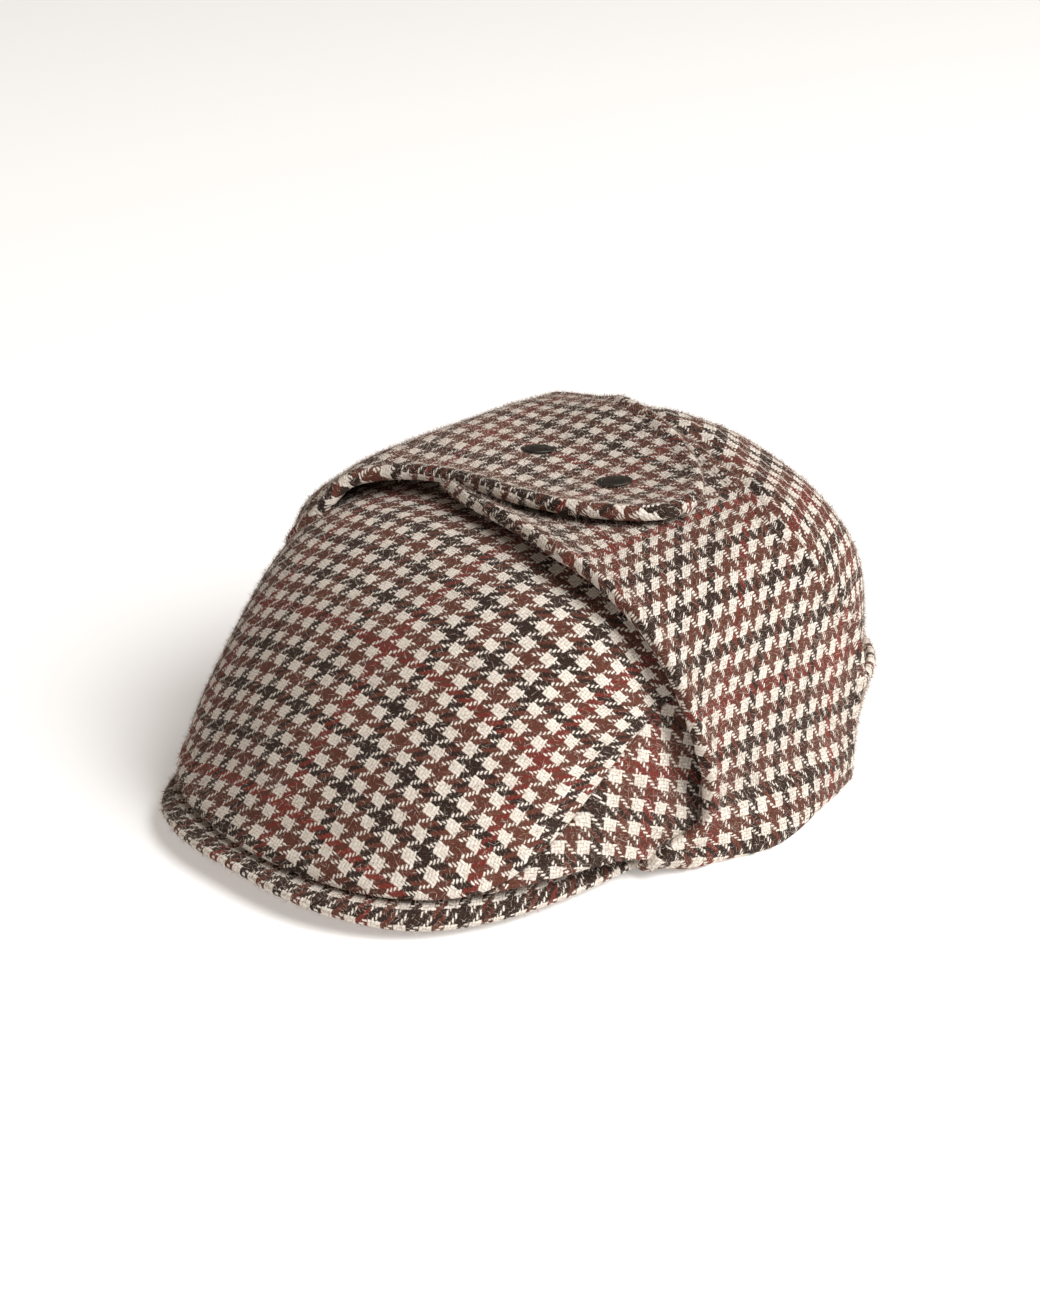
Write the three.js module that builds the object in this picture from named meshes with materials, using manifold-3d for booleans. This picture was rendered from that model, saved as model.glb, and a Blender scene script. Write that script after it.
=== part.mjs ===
// Earflap cap in houndstooth tweed, both ear flaps folded up over the crown and snapped together on top.
// Millimetres, +Z up, the peak toward -Y, the wearer's left toward +X.
import * as THREE from "three";
import Module from "manifold-3d";

const wasm = await Module();
wasm.setup();

// cloth
const crownCloth = 2.2; // tweed and its facing
const flapCloth = 3.0; // two layers of tweed
const peakCloth = 3.6; // covered peak
const seamGap = 0.35; // between pieces
const flapGap = 0.8; // flap over crown
const lapGap = 1; // right flap over left flap

// crown form: flats that meet softly, seen from a middle point
const formMiddle = 26;
const formSoftness = 5;
const formFlats = [
  { x: 1, y: 0, z: 0, reach: 89.5 },
  { x: -1, y: 0, z: 0, reach: 89.5 },
  { x: 0, y: 0.999, z: 0.036, reach: 99 },
  { x: 0, y: -0.056, z: 0.998, reach: 76.5 },
  { x: 0, y: -0.887, z: 0.462, reach: 120.5 },
  { x: 0.62, y: -0.62, z: 0.48, reach: 141.5 },
  { x: -0.62, y: -0.62, z: 0.48, reach: 141.5 },
  { x: 0.8, y: -0.45, z: 0.4, reach: 147 },
  { x: -0.8, y: -0.45, z: 0.4, reach: 147 },
  { x: 0.62, y: 0.62, z: 0.48, reach: 133 },
  { x: -0.62, y: 0.62, z: 0.48, reach: 133 },
  { x: 0, y: 0, z: -1, reach: 45.5 },
];

// soft shape of the top: the dent that the fastened flaps press in, and the puff behind them
const reliefRows = [
  { x: 3, y: 3, halfX: 44, halfY: 30, rise: -6 },
  { x: 2, y: 66, halfX: 34, halfY: 30, rise: 6.5 },
];

// how the crown draws in toward its foot, and how a flap flares there, by angle from the middle of the front
const tuckHeight = 80;
const flareHeight = 22;
const tuckRows = [
  { angle: 0, tuck: 0, flare: 0 },
  { angle: 28, tuck: 2.5, flare: 0 },
  { angle: 50, tuck: 2, flare: 0 },
  { angle: 66, tuck: 1.5, flare: 0 },
  { angle: 78, tuck: 0, flare: 2.6 },
  { angle: 90, tuck: 0, flare: 9 },
  { angle: 100, tuck: 0, flare: 6.5 },
  { angle: 110, tuck: 0.5, flare: 1 },
  { angle: 117, tuck: 3, flare: 0 },
  { angle: 124, tuck: 9, flare: 0 },
  { angle: 130, tuck: 16, flare: 0 },
  { angle: 138, tuck: 19, flare: 0 },
  { angle: 150, tuck: 16, flare: 0 },
  { angle: 165, tuck: 13, flare: 0 },
  { angle: 180, tuck: 12, flare: 0 },
];

// lower edge of the top panel, and of the side panel below it
const rimHeight = 4.2;
const seamRows = [
  { angle: 0, seam: 12.6, hem: 12.6 },
  { angle: 20, seam: 12.6, hem: 12.6 },
  { angle: 33, seam: 13.2, hem: 13 },
  { angle: 36, seam: 14.4, hem: 13.2 },
  { angle: 40, seam: 18.2, hem: 13.4 },
  { angle: 46.5, seam: 28.7, hem: 13.2 },
  { angle: 52.5, seam: 40, hem: 12.6 },
  { angle: 58.5, seam: 50, hem: 10.5 },
  { angle: 65, seam: 57, hem: 7 },
  { angle: 80, seam: 65, hem: rimHeight },
  { angle: 95, seam: 67, hem: rimHeight },
  { angle: 110, seam: 60, hem: rimHeight },
  { angle: 125, seam: 42, hem: rimHeight },
  { angle: 138, seam: 20, hem: rimHeight },
  { angle: 146, seam: 8, hem: rimHeight },
  { angle: 150, seam: rimHeight, hem: rimHeight },
  { angle: 180, seam: rimHeight, hem: rimHeight },
];
const crownStep = 5; // degrees between columns
const crownRows = 13;
const sideFirst = 35; // side panel, degrees
const sideLast = 145;
const sideRows = 6;

// flap edges: arch is the angle from the top toward the flap's own side, edges in degrees of latitude
const leftEdges = [
  { arch: 103, front: -18.5, rear: 33 },
  { arch: 97, front: -15.6, rear: 33.4 },
  { arch: 88, front: -16.6, rear: 33.4 },
  { arch: 77, front: -19.2, rear: 33 },
  { arch: 66, front: -21.4, rear: 28.5 },
  { arch: 57, front: -23.2, rear: 21 },
  { arch: 49, front: -25.2, rear: 18.6 },
  { arch: 41, front: -26.9, rear: 18.6 },
  { arch: 29, front: -29.2, rear: 24 },
  { arch: 12, front: -29.6, rear: 30 },
  { arch: -5, front: -28.4, rear: 30 },
  { arch: -35, front: -24, rear: 24 },
];
const rightEdges = [
  { arch: 103, front: -18.5, rear: 33 },
  { arch: 97, front: -15.6, rear: 33.4 },
  { arch: 88, front: -16.6, rear: 33.4 },
  { arch: 77, front: -20.5, rear: 33 },
  { arch: 68, front: -27, rear: 30 },
  { arch: 60, front: -33.5, rear: 26 },
  { arch: 53, front: -37, rear: 24 },
  { arch: 47, front: -36.5, rear: 25 },
  { arch: 42, front: -34, rear: 27.5 },
  { arch: 36, front: -30, rear: 31 },
  { arch: 29, front: -27, rear: 33.5 },
  { arch: 19, front: -25, rear: 34 },
  { arch: 7, front: -24.2, rear: 32.5 },
  { arch: -5, front: -23.8, rear: 30 },
  { arch: -35, front: -22, rear: 24 },
];
const flapFoot = 100; // arch where the wall runs into the turned foot
const roundFrom = -2; // arch where the rounded end begins
const flapTip = -34;
const tipPower = 2;
const flapArchRows = 20;
const flapTipRows = 9;
const flapColumns = 13;
const lapFrom = 46; // arch where the right flap begins to lift over the left one
const lapTo = 36;
const dropFrom = 28; // latitude behind the left flap, where the right one comes down again
const lapTilt = 2; // how much more the right flap's front edge stands up
const puff = { arch: 48, latitude: -27, halfArch: 15, halfLatitude: 10, rise: 3.2 }; // right flap's loose shoulder

// turned foot of the flaps and of the neck band, which the cap rests on
const footRadius = 4.5; // middle of the cloth
const footInner = -8; // end of the foot, from the crown's face
const footTurn = 4;
const footFront = -24; // latitude that a flap's foot runs forward to
const footTop = 11; // height where the wall begins

// swell of the flap off the crown, by height: a roll at the foot, a valley, a soft swell above
const swellRows = [
  { height: 0, swell: 1.6 },
  { height: 9, swell: 1.8 },
  { height: 22, swell: 0 },
  { height: 42, swell: 1.2 },
  { height: 70, swell: 0.8 },
  { height: 130, swell: 0.8 },
];

// neck band: upright behind the flaps, its top edge standing off the crown
const bandGap = 0.35; // degrees behind the flap
const bandBlend = 12; // degrees over which its swell takes over from the flap's
const bandColumns = 25;
const bandRows = 5;
const bandTop = 38;
const bandSwell = [
  { height: 0, swell: 0.8 },
  { height: 15, swell: 0.4 },
  { height: 30, swell: 0.6 },
  { height: 38, swell: 1.4 },
];

// peak: lip outline, edge of the head opening, heights by angle along the lip
const lipHalf = 79.5;
const lipDepth = 95;
const lipMiddle = -50;
const lipPower = 2.8;
const lipLast = 92;
const openHalf = 79;
const openDepth = 97;
const openLast = 60;
const peakColumns = 37;
const peakRows = [
  { inset: 0, rise: 0 },
  { inset: 0.9, rise: 0.42 },
  { inset: 2.2, rise: 0.74 },
  { inset: 4.5, rise: 0.92 },
  { inset: 9, rise: 1 },
  { inset: 18, rise: 1.04 },
  { inset: 29, rise: 1.08 },
  { inset: 41, rise: 1.1 },
];
const lipRows = [
  { angle: 0, lip: 7.8, deck: 8.9 },
  { angle: 25, lip: 6, deck: 8.9 },
  { angle: 45, lip: 3.6, deck: 9.1 },
  { angle: 65, lip: 2.8, deck: 8.6 },
  { angle: 80, lip: 2.8, deck: 6.8 },
  { angle: 92, lip: 2.6, deck: 4.2 },
];

// snaps, in from the middle of the cap and back from its crossing line
const snapRows = [
  { name: "snap_left", x: 21, latitude: 3 },
  { name: "snap_right", x: -18, latitude: 5 },
];
const snapHalf = 6.5;
const snapRise = 1.9;
const postHalf = 2;
const postHole = 2.5;
const snapSides = 24;

const radians = (degrees) => (degrees * Math.PI) / 180;
const turnOf = (point) => Math.abs(Math.atan2(point.x, -point.y)) * (180 / Math.PI);

// value of a table column at a place between its rows, eased so that it runs on smoothly
function readRow(rows, key, column, at) {
  const falling = rows[0][key] > rows[rows.length - 1][key];
  const list = falling ? [...rows].reverse() : rows;
  if (at <= list[0][key]) return list[0][column];
  const last = list.length - 1;
  if (at >= list[last][key]) return list[last][column];
  let i = 0;
  while (at > list[i + 1][key]) i += 1;
  const slope = (k) => {
    const a = list[Math.max(k - 1, 0)];
    const b = list[Math.min(k + 1, last)];
    return (b[column] - a[column]) / (b[key] - a[key]);
  };
  const width = list[i + 1][key] - list[i][key];
  const t = (at - list[i][key]) / width;
  const p = list[i][column];
  const q = list[i + 1][column];
  const s = t * t * (3 - 2 * t);
  return p + (q - p) * s + width * (slope(i) * t * (1 - t) * (1 - t) - slope(i + 1) * t * t * (1 - t));
}

// direction by angle round from the front and by height
function roundWay(angle, tilt) {
  const a = radians(angle);
  const t = radians(tilt);
  return new THREE.Vector3(Math.cos(t) * Math.sin(a), -Math.cos(t) * Math.cos(a), Math.sin(t));
}

// direction by arch over the top and by latitude toward the back
function archWay(arch, latitude) {
  const a = radians(arch);
  const b = radians(latitude);
  return new THREE.Vector3(Math.cos(b) * Math.sin(a), Math.sin(b), Math.cos(b) * Math.cos(a));
}

// point of the crown's face in a direction, with its outward normal
function crownPoint(way) {
  let sum = 0;
  const normal = new THREE.Vector3();
  for (const flat of formFlats) {
    const size = Math.hypot(flat.x, flat.y, flat.z) * flat.reach;
    const lean = (way.x * flat.x + way.y * flat.y + way.z * flat.z) / size;
    if (lean > 0) {
      sum += Math.pow(lean, formSoftness);
      const push = Math.pow(lean, formSoftness - 1) / size;
      normal.x += push * flat.x;
      normal.y += push * flat.y;
      normal.z += push * flat.z;
    }
  }
  const point = way.clone().multiplyScalar(Math.pow(sum, -1 / formSoftness));
  point.z += formMiddle;
  normal.normalize();
  if (point.z > formMiddle) {
    let rise = 0;
    for (const relief of reliefRows) {
      const offX = (point.x - relief.x) / relief.halfX;
      const offY = (point.y - relief.y) / relief.halfY;
      const part = relief.rise * Math.exp(-offX * offX - offY * offY);
      rise += part;
      normal.x += (2 * part * offX * normal.z) / relief.halfX;
      normal.y += (2 * part * offY * normal.z) / relief.halfY;
    }
    point.z += rise;
    normal.normalize();
  }
  const low = Math.max(0, (tuckHeight - point.z) / tuckHeight);
  const around = turnOf(point);
  const flat = Math.hypot(point.x, point.y);
  if (flat > 1) {
    const tuck = readRow(tuckRows, "angle", "tuck", around) * low * low;
    point.x *= 1 - tuck / flat;
    point.y *= 1 - tuck / flat;
  }
  return { point, normal };
}

// flare of a flap's foot at a place and a height
function flareAt(point, height) {
  const low = Math.max(0, (flareHeight - height) / flareHeight);
  return readRow(tuckRows, "angle", "flare", turnOf(point)) * low * low;
}

const lifted = (spot, height) => spot.point.clone().addScaledVector(spot.normal, height);

// direction round the crown at a wanted height
function wayAtHeight(angle, height) {
  let low = -35;
  let high = 75;
  for (let i = 0; i < 30; i += 1) {
    const middle = (low + high) / 2;
    if (crownPoint(roundWay(angle, middle)).point.z < height) low = middle;
    else high = middle;
  }
  return low;
}

// closed sheet from an outer and an inner face, each a grid of points
function sheet(rows, columns, outer, inner, wrap = false, tops = null) {
  const points = [];
  const faces = [];
  for (const face of [outer, inner]) {
    for (let i = 0; i < rows; i += 1) {
      for (let j = 0; j < columns; j += 1) points.push(face(i, j));
    }
  }
  const at = (side, i, j) => side * rows * columns + i * columns + (j % columns);
  const quad = (a, b, c, d) => faces.push([a, b, c], [a, c, d]);
  const spans = wrap ? columns : columns - 1;
  for (let j = 0; j < spans; j += 1) {
    for (let i = 0; i < rows - 1; i += 1) {
      quad(at(0, i, j), at(0, i, j + 1), at(0, i + 1, j + 1), at(0, i + 1, j));
      quad(at(1, i, j), at(1, i + 1, j), at(1, i + 1, j + 1), at(1, i, j + 1));
    }
    quad(at(1, 0, j), at(1, 0, j + 1), at(0, 0, j + 1), at(0, 0, j));
    const end = rows - 1;
    if (!tops) quad(at(0, end, j), at(0, end, j + 1), at(1, end, j + 1), at(1, end, j));
  }
  if (tops) {
    const top = points.length;
    points.push(tops[0], tops[1]);
    for (let j = 0; j < spans; j += 1) {
      faces.push([at(0, rows - 1, j), at(0, rows - 1, j + 1), top]);
      faces.push([at(1, rows - 1, j + 1), at(1, rows - 1, j), top + 1]);
    }
  }
  if (!wrap) {
    for (let i = 0; i < rows - 1; i += 1) {
      quad(at(0, i, 0), at(0, i + 1, 0), at(1, i + 1, 0), at(1, i, 0));
      quad(at(1, i, columns - 1), at(1, i + 1, columns - 1), at(0, i + 1, columns - 1), at(0, i, columns - 1));
    }
  }
  return closed(points, faces);
}

// mesh data with its faces turned outward
function closed(points, faces) {
  let volume = 0;
  for (const [a, b, c] of faces) {
    volume += points[a].dot(points[b].clone().cross(points[c]));
  }
  const turned = volume < 0 ? faces.map(([a, b, c]) => [a, c, b]) : faces;
  const geometry = new THREE.BufferGeometry();
  const flat = points.flatMap((p) => [p.x, p.y, p.z]);
  geometry.setAttribute("position", new THREE.Float32BufferAttribute(flat, 3));
  geometry.setIndex(turned.flat());
  geometry.computeVertexNormals();
  return geometry;
}

// one solid cut by others
function cut(geometry, tools) {
  const solid = (source) => {
    const mesh = new wasm.Mesh({
      numProp: 3,
      vertProperties: new Float32Array(source.getAttribute("position").array),
      triVerts: new Uint32Array(source.getIndex().array),
    });
    return new wasm.Manifold(mesh);
  };
  let whole = solid(geometry);
  for (const tool of tools) whole = whole.subtract(solid(tool));
  const mesh = whole.getMesh();
  const result = new THREE.BufferGeometry();
  result.setAttribute("position", new THREE.Float32BufferAttribute(mesh.vertProperties, 3));
  result.setIndex([...mesh.triVerts]);
  result.computeVertexNormals();
  return result;
}

// solid turned about an axis from a profile that starts and ends on it
function turned(profile, base, axis) {
  const side = new THREE.Vector3(0, 1, 0).cross(axis).normalize();
  const other = axis.clone().cross(side);
  const points = [base.clone().addScaledVector(axis, profile[0][1])];
  const rings = profile.slice(1, -1);
  for (const [out, up] of rings) {
    for (let k = 0; k < snapSides; k += 1) {
      const a = (2 * Math.PI * k) / snapSides;
      const spot = base.clone().addScaledVector(axis, up);
      points.push(spot.addScaledVector(side, out * Math.cos(a)).addScaledVector(other, out * Math.sin(a)));
    }
  }
  points.push(base.clone().addScaledVector(axis, profile[profile.length - 1][1]));
  const faces = [];
  const at = (i, k) => 1 + i * snapSides + (k % snapSides);
  for (let k = 0; k < snapSides; k += 1) {
    faces.push([0, at(0, k), at(0, k + 1)]);
    for (let i = 0; i < rings.length - 1; i += 1) {
      faces.push([at(i, k), at(i + 1, k), at(i + 1, k + 1)], [at(i, k), at(i + 1, k + 1), at(i, k + 1)]);
    }
    faces.push([at(rings.length - 1, k), points.length - 1, at(rings.length - 1, k + 1)]);
  }
  return closed(points, faces);
}

// crown top panel
function crownTop() {
  const columns = 360 / crownStep;
  const spot = (i, j) => {
    const angle = j * crownStep;
    const around = angle > 180 ? 360 - angle : angle;
    const low = wayAtHeight(angle, readRow(seamRows, "angle", "seam", around));
    return crownPoint(roundWay(angle, low + (90 - low) * (i / crownRows)));
  };
  const top = crownPoint(new THREE.Vector3(0, 0, 1));
  const outer = (i, j) => spot(i, j).point;
  const inner = (i, j) => lifted(spot(i, j), -crownCloth);
  return sheet(crownRows, columns, outer, inner, true, [top.point, lifted(top, -crownCloth)]);
}

// crown side panel under the seam
function sidePanel(side) {
  const columns = (sideLast - sideFirst) / crownStep + 1;
  const spot = (i, j) => {
    const angle = sideFirst + j * crownStep;
    const seam = readRow(seamRows, "angle", "seam", angle) - seamGap;
    const hem = readRow(seamRows, "angle", "hem", angle);
    const height = hem + (seam - hem) * (i / (sideRows - 1));
    return crownPoint(roundWay(side * angle, wayAtHeight(angle, height)));
  };
  const outer = (i, j) => spot(i, j).point;
  const inner = (i, j) => lifted(spot(i, j), -crownCloth);
  return sheet(sideRows, columns, outer, inner);
}

// turned foot: runs in from the wall's foot, points across the cloth by half its thickness
function footPoint(base, outward, stand, i, half) {
  const out = outward;
  const middle = stand - footRadius;
  if (i === 0) {
    return base.clone().addScaledVector(out, footInner).setZ(flapCloth / 2 - half);
  }
  const turn = ((i - 1) / footTurn) * (Math.PI / 2);
  const height = flapCloth / 2 + footRadius - (footRadius + half) * Math.cos(turn);
  const flare = flareAt(base, height) - flareAt(base, base.z);
  const reach = middle + flare + (footRadius + half) * Math.sin(turn);
  return base.clone().addScaledVector(out, reach).setZ(height);
}

const smooth = (from, to, at) => {
  const t = Math.min(1, Math.max(0, (at - from) / (to - from)));
  return t * t * (3 - 2 * t);
};

// height of the middle of a flap's cloth over the crown
function flapStand(spot, arch, latitude, across, side) {
  const swell = readRow(swellRows, "height", "swell", spot.point.z) * smooth(30, 60, arch);
  let stand = flapGap + flapCloth / 2 + swell + flareAt(spot.point, spot.point.z);
  if (side < 0) {
    const drop = 0.8 * smooth(dropFrom, dropFrom + 8, latitude) * smooth(12, 26, arch);
    const lap = smooth(lapFrom, lapTo, arch) * (1 - drop);
    stand += lap * (flapCloth + lapGap + lapTilt * (1 - across));
    const offArch = (arch - puff.arch) / puff.halfArch;
    const offLatitude = (latitude - puff.latitude) / puff.halfLatitude;
    stand += puff.rise * Math.exp(-offArch * offArch - offLatitude * offLatitude);
  }
  return stand;
}

// latitudes of a flap's two edges, drawn together over its rounded end
function flapEdges(arch, side) {
  const rows = side > 0 ? leftEdges : rightEdges;
  const front = readRow(rows, "arch", "front", arch);
  const rear = readRow(rows, "arch", "rear", arch);
  const end = Math.max(0, (roundFrom - arch) / (roundFrom - flapTip));
  const width = Math.pow(1 - Math.pow(Math.min(end, 0.99), tipPower), 1 / tipPower);
  const middle = (front + rear) / 2;
  const half = ((rear - front) / 2) * width;
  return { front: middle - half, rear: middle + half };
}

// place on a flap by arch and share of the way across, with its stand
function flapSpot(arch, across, side) {
  const { front, rear } = flapEdges(arch, side);
  const latitude = front + (rear - front) * across;
  const spot = crownPoint(archWay(side * arch, latitude));
  return { spot, stand: flapStand(spot, arch, latitude, across, side) };
}

// ear flap, from its turned foot up and over the crown to its rounded end
function earFlap(side) {
  const rows = footTurn + 2 + flapArchRows + flapTipRows;
  const point = (i, j, half) => {
    const across = j / (flapColumns - 1);
    const step = Math.max(0, i - footTurn - 1);
    const past = Math.max(0, step - flapArchRows) / flapTipRows;
    const straight = flapFoot + (roundFrom - flapFoot) * Math.min(1, step / flapArchRows);
    const arch = straight + (flapTip - roundFrom) * Math.sin((past * Math.PI) / 2);
    const { front, rear } = flapEdges(arch, side);
    const ahead = Math.max(0, 1 - Math.pow(i / (footTurn + 2), 2)) * (footFront - front);
    const place = (ahead * (1 - across)) / (rear - front) + across;
    const { spot, stand } = flapSpot(arch, place, side);
    if (i > footTurn + 1) return lifted(spot, stand + half);
    const outward = new THREE.Vector3(spot.normal.x, spot.normal.y, 0).normalize();
    return footPoint(spot.point, outward, stand, i, half);
  };
  const outer = (i, j) => point(i, j, flapCloth / 2);
  const inner = (i, j) => point(i, j, -flapCloth / 2);
  return sheet(rows, flapColumns, outer, inner);
}

// angle round from the front of the flap's rear edge at a height
function rearAngle(height) {
  let low = 45;
  let high = flapFoot;
  let point = null;
  for (let i = 0; i < 30; i += 1) {
    const middle = (low + high) / 2;
    point = flapSpot(middle, 1, 1).spot.point;
    if (point.z > height) low = middle;
    else high = middle;
  }
  return Math.atan2(point.x, -point.y) * (180 / Math.PI);
}

// neck band between the flaps, round the back
function neckBand() {
  const rows = footTurn + 2 + bandRows;
  const point = (i, j, half) => {
    const step = Math.max(0, i - footTurn - 1);
    const height = footTop + (bandTop - footTop) * (step / bandRows);
    const first = rearAngle(height) + bandGap;
    const angle = first + ((360 - 2 * first) * j) / (bandColumns - 1);
    const spot = crownPoint(roundWay(angle, wayAtHeight(angle, height)));
    const into = Math.min(1, Math.min(angle - first, 360 - first - angle) / bandBlend);
    const flap = readRow(swellRows, "height", "swell", height);
    const own = readRow(bandSwell, "height", "swell", height);
    const stand = flapGap + flapCloth / 2 + flap + (own - flap) * into * into * (3 - 2 * into);
    if (i > footTurn + 1) return lifted(spot, stand + half);
    const outward = new THREE.Vector3(spot.normal.x, spot.normal.y, 0).normalize();
    return footPoint(spot.point, outward, stand, i, half);
  };
  const outer = (i, j) => point(i, j, flapCloth / 2);
  const inner = (i, j) => point(i, j, -flapCloth / 2);
  return sheet(rows, bandColumns, outer, inner);
}

// peak: a steep lip that turns into a flat deck under the crown, back to the head opening
function peak() {
  const spot = (i, j) => {
    const along = (2 * j) / (peakColumns - 1) - 1;
    const lipTurn = radians(lipLast * along);
    const openTurn = radians(openLast * along);
    const bend = (v) => Math.sign(v) * Math.pow(Math.abs(v), 2 / lipPower);
    const lip = new THREE.Vector3(
      lipHalf * bend(Math.sin(lipTurn)),
      lipMiddle - lipDepth * bend(Math.cos(lipTurn)),
      0,
    );
    const open = new THREE.Vector3(openHalf * Math.sin(openTurn), -openDepth * Math.cos(openTurn), 0);
    const full = peakRows[peakRows.length - 1].inset;
    const width = lip.distanceTo(open);
    const inset = peakRows[i].inset * Math.min(1, width / full);
    const angle = Math.abs(lipLast * along);
    const low = readRow(lipRows, "angle", "lip", angle);
    const deck = readRow(lipRows, "angle", "deck", angle);
    return lip.lerp(open, inset / width).setZ(low + (deck - low) * peakRows[i].rise);
  };
  const face = (half) => (i, j) => {
    const last = peakRows.length - 1;
    const down = spot(Math.min(i + 1, last), j).sub(spot(Math.max(i - 1, 0), j));
    const along = spot(i, Math.min(j + 1, peakColumns - 1)).sub(spot(i, Math.max(j - 1, 0)));
    const normal = along.cross(down).normalize();
    if (normal.z < 0) normal.negate();
    return spot(i, j).addScaledVector(normal, half);
  };
  return sheet(peakRows.length, peakColumns, face(peakCloth / 2), face(-peakCloth / 2));
}

// where a snap sits: in the middle of the right flap's cloth, with the way up
function snapSpot({ x, latitude }) {
  const place = (slope, way) => {
    const arch = (Math.atan2(-slope, 1) * 180) / Math.PI;
    const { front, rear } = flapEdges(arch, -1);
    const { spot, stand } = flapSpot(arch, (way - front) / (rear - front), -1);
    return lifted(spot, stand);
  };
  let low = -1;
  let high = 1;
  for (let i = 0; i < 30; i += 1) {
    const middle = (low + high) / 2;
    if (place(middle, latitude).x < x) low = middle;
    else high = middle;
  }
  const along = place(low + 0.05, latitude).sub(place(low - 0.05, latitude));
  const across = place(low, latitude + 4).sub(place(low, latitude - 4));
  return { point: place(low, latitude), normal: along.cross(across).normalize() };
}

function snap(row) {
  const spot = snapSpot(row);
  const seat = flapCloth / 2 + 0.35;
  const profile = [
    [0, -flapCloth / 2],
    [postHalf, -flapCloth / 2],
    [postHalf, seat],
    [snapHalf - 0.5, seat],
    [snapHalf, seat + 0.5],
    [snapHalf - 0.2, seat + 0.9],
    [snapHalf * 0.75, seat + snapRise * 0.8],
    [snapHalf * 0.4, seat + snapRise * 0.97],
    [0, seat + snapRise],
  ];
  return turned(profile, spot.point, spot.normal);
}

function snapHole(row) {
  const spot = snapSpot(row);
  const profile = [
    [0, -flapCloth],
    [postHole, -flapCloth],
    [postHole, flapCloth],
    [0, flapCloth],
  ];
  return turned(profile, spot.point, spot.normal);
}

const tweed = { color: 0x8a6a5c, roughness: 0.95, metalness: 0 };
const bronze = { color: 0x2f2b27, roughness: 0.45, metalness: 0.8 };

const group = new THREE.Group();
group.name = "earflap_cap";

function add(name, geometry, look) {
  const mesh = new THREE.Mesh(geometry, new THREE.MeshStandardMaterial(look));
  mesh.name = name;
  group.add(mesh);
}

add("crown_top", crownTop(), tweed);
add("side_panel_left", sidePanel(1), tweed);
add("side_panel_right", sidePanel(-1), tweed);
add("peak", peak(), tweed);
add("flap_left", earFlap(1), tweed);
add("flap_right", cut(earFlap(-1), snapRows.map(snapHole)), tweed);
add("neck_band", neckBand(), tweed);
for (const row of snapRows) add(row.name, snap(row), bronze);

// the middle of the whole cap's box stands over the origin
const box = new THREE.Box3().setFromObject(group);
group.position.y = -(box.min.y + box.max.y) / 2;
group.position.z = -box.min.z;

export default group;
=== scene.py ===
import math
import bpy
import numpy as np
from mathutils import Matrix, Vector


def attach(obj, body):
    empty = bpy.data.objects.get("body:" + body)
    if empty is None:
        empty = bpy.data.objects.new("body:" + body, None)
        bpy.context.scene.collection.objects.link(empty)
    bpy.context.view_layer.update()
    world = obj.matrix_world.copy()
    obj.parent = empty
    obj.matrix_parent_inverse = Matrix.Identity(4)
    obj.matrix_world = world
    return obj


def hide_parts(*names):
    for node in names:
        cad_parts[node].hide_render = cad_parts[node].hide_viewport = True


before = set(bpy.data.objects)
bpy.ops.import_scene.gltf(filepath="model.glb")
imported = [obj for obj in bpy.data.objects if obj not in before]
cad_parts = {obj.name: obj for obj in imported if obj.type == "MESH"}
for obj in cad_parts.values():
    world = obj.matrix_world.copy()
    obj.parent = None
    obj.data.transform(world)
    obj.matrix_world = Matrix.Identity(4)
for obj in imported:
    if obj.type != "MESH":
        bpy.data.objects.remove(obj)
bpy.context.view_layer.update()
print("stage 1: frame loaded with", len(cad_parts), "nodes")

shiftY = 23.2  # the drafting origin sits this far behind the middle of the box, mm

# camera at the photograph's own angle

shot = {"eye": (0.6083, -0.5714, 0.4237), "turn": 46.61, "rise": 24.3, "lens": 74.675, "sensor": 36.0,
        "nearest": 0.01, "farthest": 50}

def addObject(name, data):
    made = bpy.data.objects.new(name, data)
    bpy.context.scene.collection.objects.link(made)
    return made

def placeCamera():
    data = bpy.data.cameras.new("camera")
    data.lens, data.sensor_width, data.sensor_fit = shot["lens"], shot["sensor"], "AUTO"
    data.clip_start, data.clip_end = shot["nearest"], shot["farthest"]
    eye = addObject("camera", data)
    eye.location = shot["eye"]
    eye.rotation_euler = (math.radians(90 - shot["rise"]), 0, math.radians(shot["turn"]))
    bpy.context.scene.camera = eye

placeCamera()

# small helpers for numbers along a table and for steps

def readTable(table, keys, values, at):
    k, w, x = np.asarray(table[keys], float), np.asarray(table[values], float), np.asarray(at, float)
    if k[0] > k[-1]:
        k, w = k[::-1], w[::-1]
    x = np.clip(x, k[0], k[-1])
    i = np.clip(np.searchsorted(k, x) - 1, 0, len(k) - 2)
    below, above = np.maximum(np.arange(len(k)) - 1, 0), np.minimum(np.arange(len(k)) + 1, len(k) - 1)
    slope = (w[above] - w[below]) / (k[above] - k[below])
    width = k[i + 1] - k[i]
    t = (x - k[i]) / width
    s = t * t * (3 - 2 * t)
    return w[i] + (w[i + 1] - w[i]) * s + width * (slope[i] * t * (1 - t) ** 2 - slope[i + 1] * t * t * (1 - t))

def smooth(low, high, at):
    t = np.clip((at - low) / (high - low), 0, 1)
    return t * t * (3 - 2 * t)

def unit(v):
    return v / np.maximum(np.linalg.norm(v, axis=-1, keepdims=True), 1e-9)

def lump(at, middle, half):
    return np.exp(-((at - middle) / half) ** 2)

# the crown's body: soft flats all round a middle point, in mm

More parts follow.
